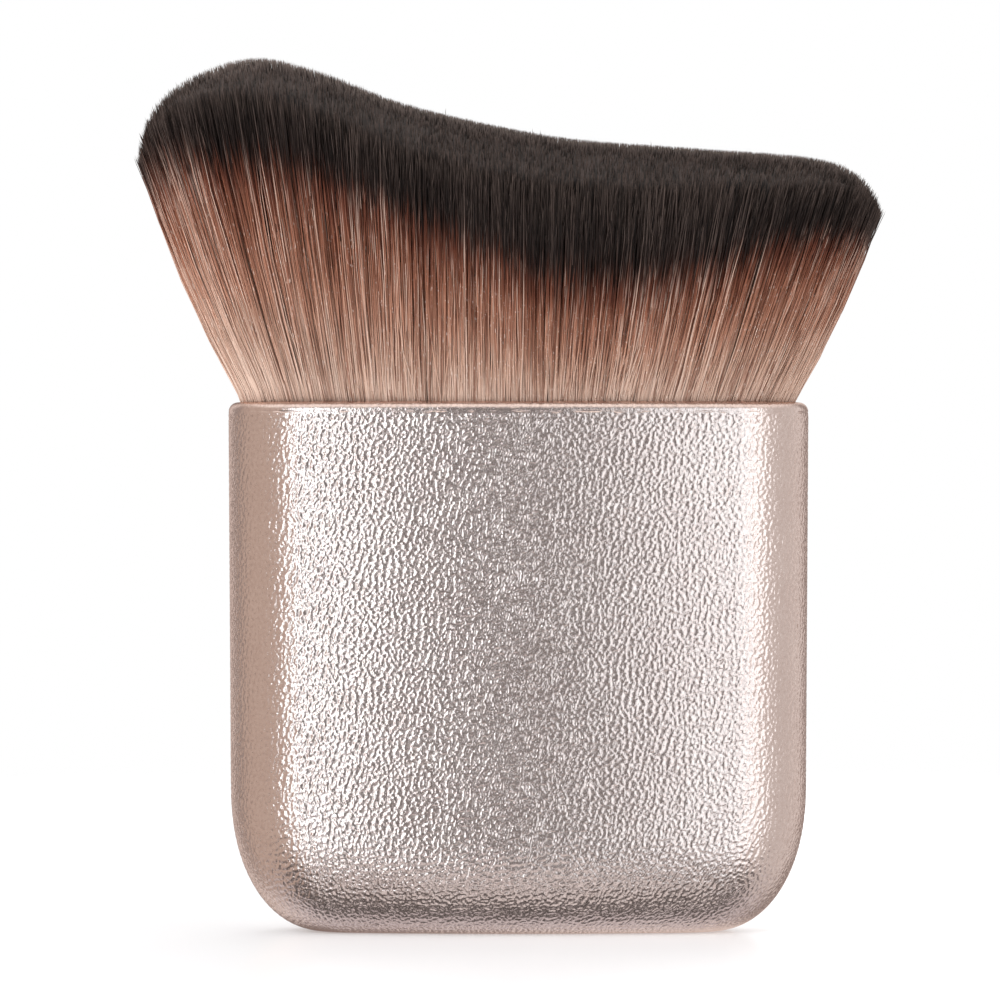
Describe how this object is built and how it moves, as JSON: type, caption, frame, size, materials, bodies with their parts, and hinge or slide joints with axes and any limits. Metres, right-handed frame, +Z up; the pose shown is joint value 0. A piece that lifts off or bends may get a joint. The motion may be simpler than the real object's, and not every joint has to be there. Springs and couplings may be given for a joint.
{
  "type": "kabuki makeup brush",
  "caption": "Wide flat body kabuki brush: a pebbled metallised handle that stands on its base, with a dense flared tuft of tapering hair cut to a wave.",
  "frame": {"origin": "middle of the flat base that the brush stands on, on the handle's axis", "axes": "+Z up the handle to the hair, +X to the right as seen from the front (the high lobe of the wave is at -X), +Y from front to back"},
  "size_m": [0.08, 0.0294, 0.095],
  "materials": {
    "metallised_shell": "gloss",
    "socket_plastic": "matte",
    "potting_resin": "gloss",
    "binding_thread": "matte",
    "hair": "satin",
    "weight_steel": "satin",
    "pad_rubber": "matte"
  },
  "bodies": {
    "root": {"handle_shell": "metallised_shell", "hair_socket": "socket_plastic", "root_potting": "potting_resin", "left_root_binding": "binding_thread", "right_root_binding": "binding_thread", "left_hair_bundle": "hair", "right_hair_bundle": "hair", "counterweight": "weight_steel", "weight_pad": "pad_rubber"}
  },
  "joints": []
}
